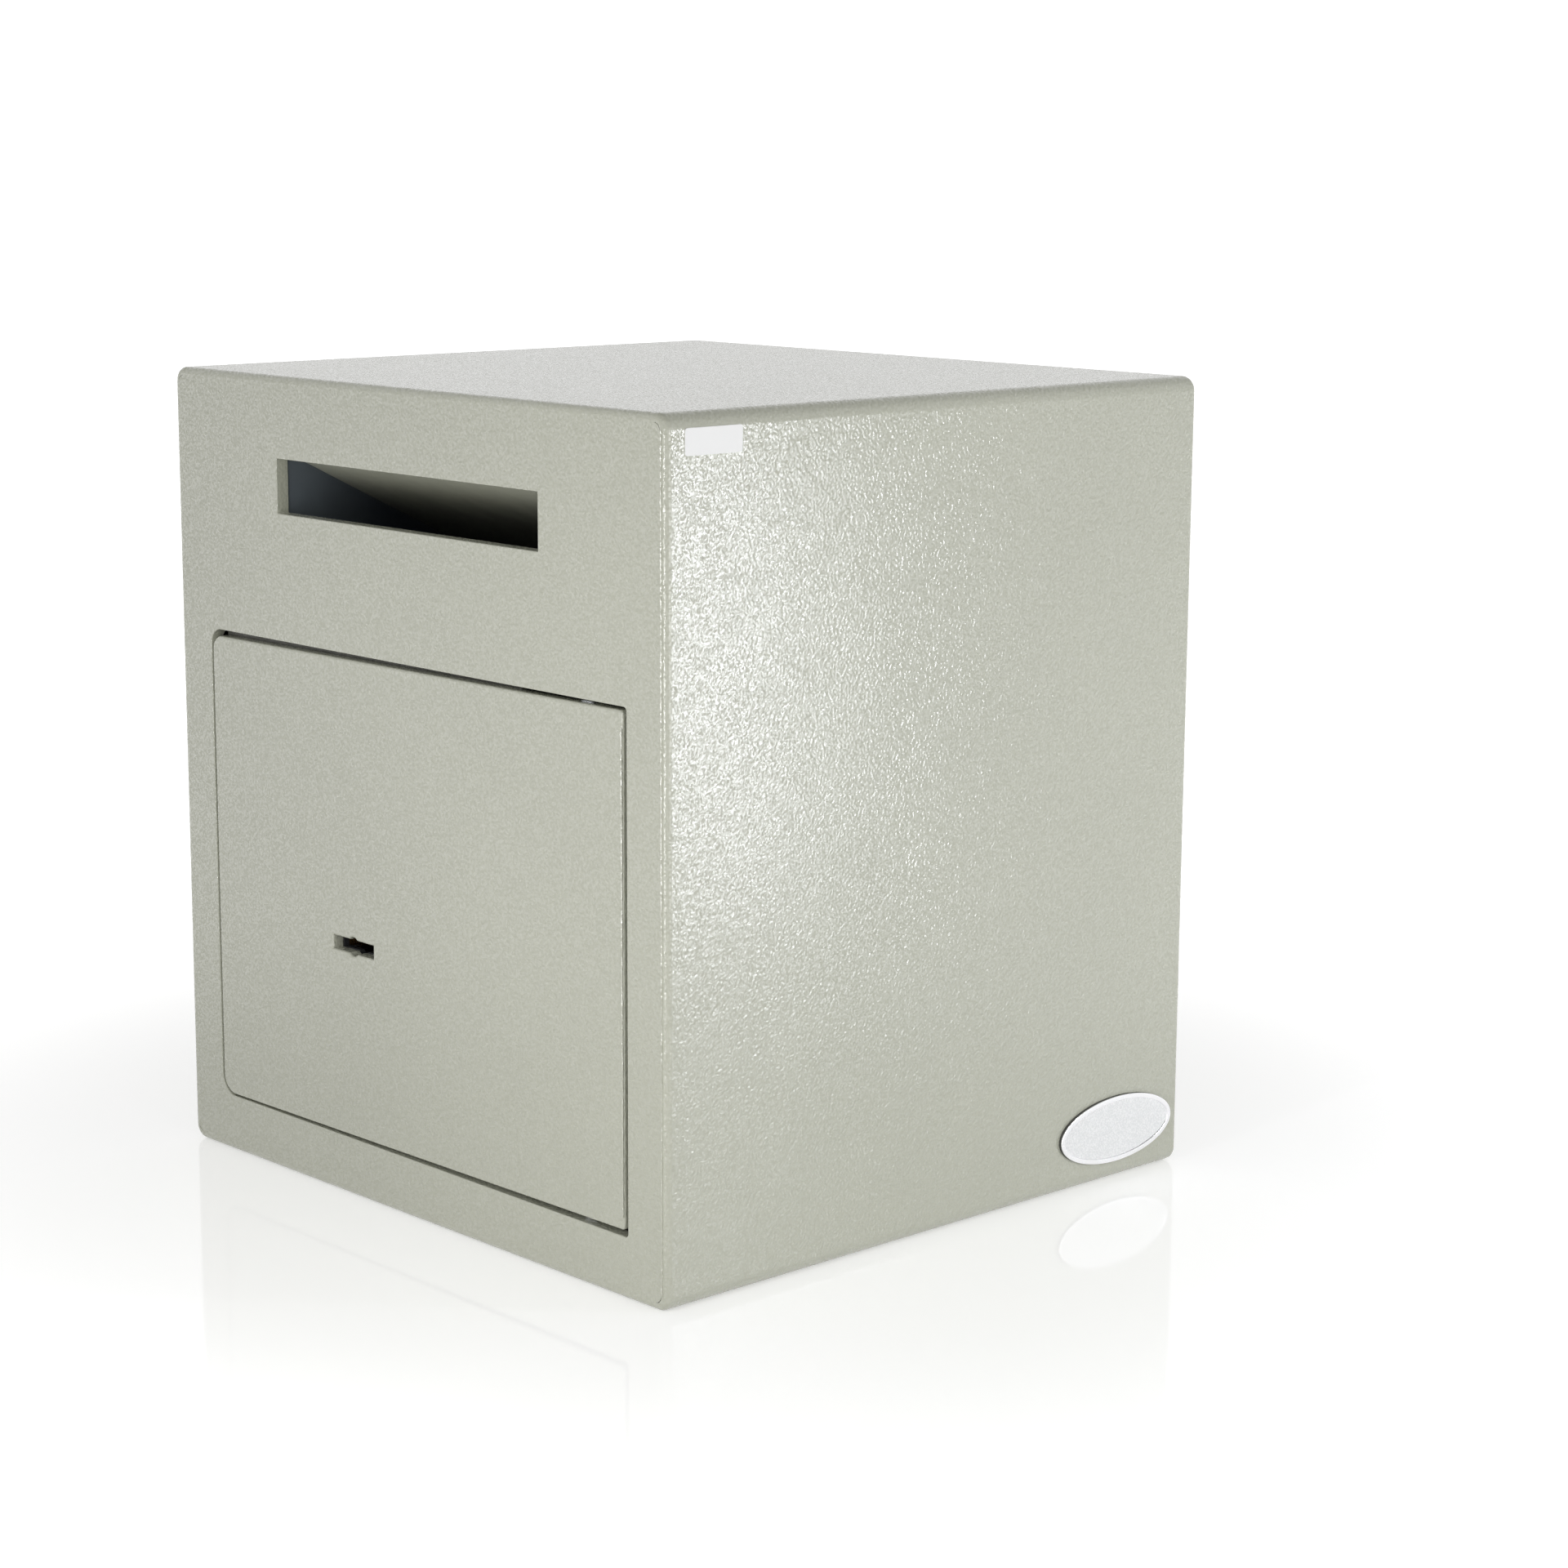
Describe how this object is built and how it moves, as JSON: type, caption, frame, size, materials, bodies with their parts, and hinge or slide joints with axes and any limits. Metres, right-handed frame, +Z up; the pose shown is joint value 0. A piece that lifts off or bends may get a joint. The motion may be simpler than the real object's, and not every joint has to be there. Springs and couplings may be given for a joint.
{
  "type": "deposit safe",
  "caption": "Steel under-counter deposit safe: a front slot feeds a sloping chute above a hinged flush door, locked by round bolts thrown by a double-bit key lock",
  "frame": {"origin": "centre of the base underside of the cabinet body", "axes": "+Z up, the door and the slot face -Y, +X to the right as seen from the front"},
  "size_m": [0.2814, 0.26, 0.3],
  "materials": {
    "cabinet_paint": "pebble grey powder coat with a fine orange peel",
    "chute_paint": "thin overspray of the cabinet paint",
    "dark_sheet": "dark blued sheet, satin",
    "mild_steel": "plain oiled steel",
    "zinc_plate": "bright zinc plate",
    "lock_brass": "stamped brass, fine grain",
    "lock_case_finish": "black stoved paint",
    "badge_metal": "frosted silver field with a bright rim, bare",
    "label_film": "blank white film"
  },
  "bodies": {
    "cabinet": {"body_shell": "cabinet_paint", "front_plate": "cabinet_paint", "rear_panel": "cabinet_paint", "chute_hood": "chute_paint", "chute_ramp": "chute_paint", "chute_cheek_left": "dark_sheet", "chute_cheek_right": "dark_sheet", "door_stop_top": "cabinet_paint", "door_stop_bottom": "cabinet_paint", "hinge_bracket_top": "mild_steel", "hinge_bracket_bottom": "mild_steel", "side_badge": "badge_metal", "side_label": "label_film"},
    "door": {"door_plate": "cabinet_paint", "hinge_lug_top": "mild_steel", "hinge_lug_bottom": "mild_steel", "hinge_pin_top": "zinc_plate", "hinge_pin_bottom": "zinc_plate", "hinge_side_dog": "mild_steel", "bolt_guide": "mild_steel", "lock_case": "lock_case_finish", "lock_cover": "zinc_plate", "lock_screw_1": "zinc_plate", "lock_screw_2": "zinc_plate", "lock_screw_3": "zinc_plate", "lock_screw_4": "zinc_plate", "lever_post": "mild_steel", "lever_spring": "zinc_plate"},
    "boltwork": {"lock_bolt": "lock_brass", "bolt_bar": "mild_steel", "round_bolt_upper": "zinc_plate", "round_bolt_lower": "zinc_plate", "bar_screw_upper": "zinc_plate", "bar_screw_lower": "zinc_plate"},
    "levers": {"lever_1": "lock_brass", "lever_2": "lock_brass", "lever_3": "lock_brass", "lever_4": "lock_brass", "lever_5": "lock_brass"},
    "key_follower": {"key_follower": "lock_brass"}
  },
  "joints": [
    {"name": "door_hinge", "type": "hinge", "parent": "cabinet", "child": "door", "pos_m": [0.092, -0.121, 0.1125], "axis": [0, 0, 1], "range_deg": [0, 105]},
    {"name": "bolt_throw", "type": "slide", "parent": "door", "child": "boltwork", "axis": [-1, 0, 0], "range_m": [0, 0.012]},
    {"name": "follower_turn", "type": "hinge", "parent": "door", "child": "key_follower", "pos_m": [-0.0335, -0.118, 0.095], "axis": [0, 1, 0], "range_deg": [0, 180]},
    {"name": "lever_lift", "type": "hinge", "parent": "door", "child": "levers", "pos_m": [-0.0115, -0.1188, 0.095], "axis": [0, 1, 0], "range_deg": [0, 5], "stiffness_Nm_per_rad": 0.05, "deforming": ["lever_spring"]}
  ],
  "couplings": [
    {"joint": "follower_turn", "follows": "bolt_throw", "rad_per_m": 261}
  ]
}
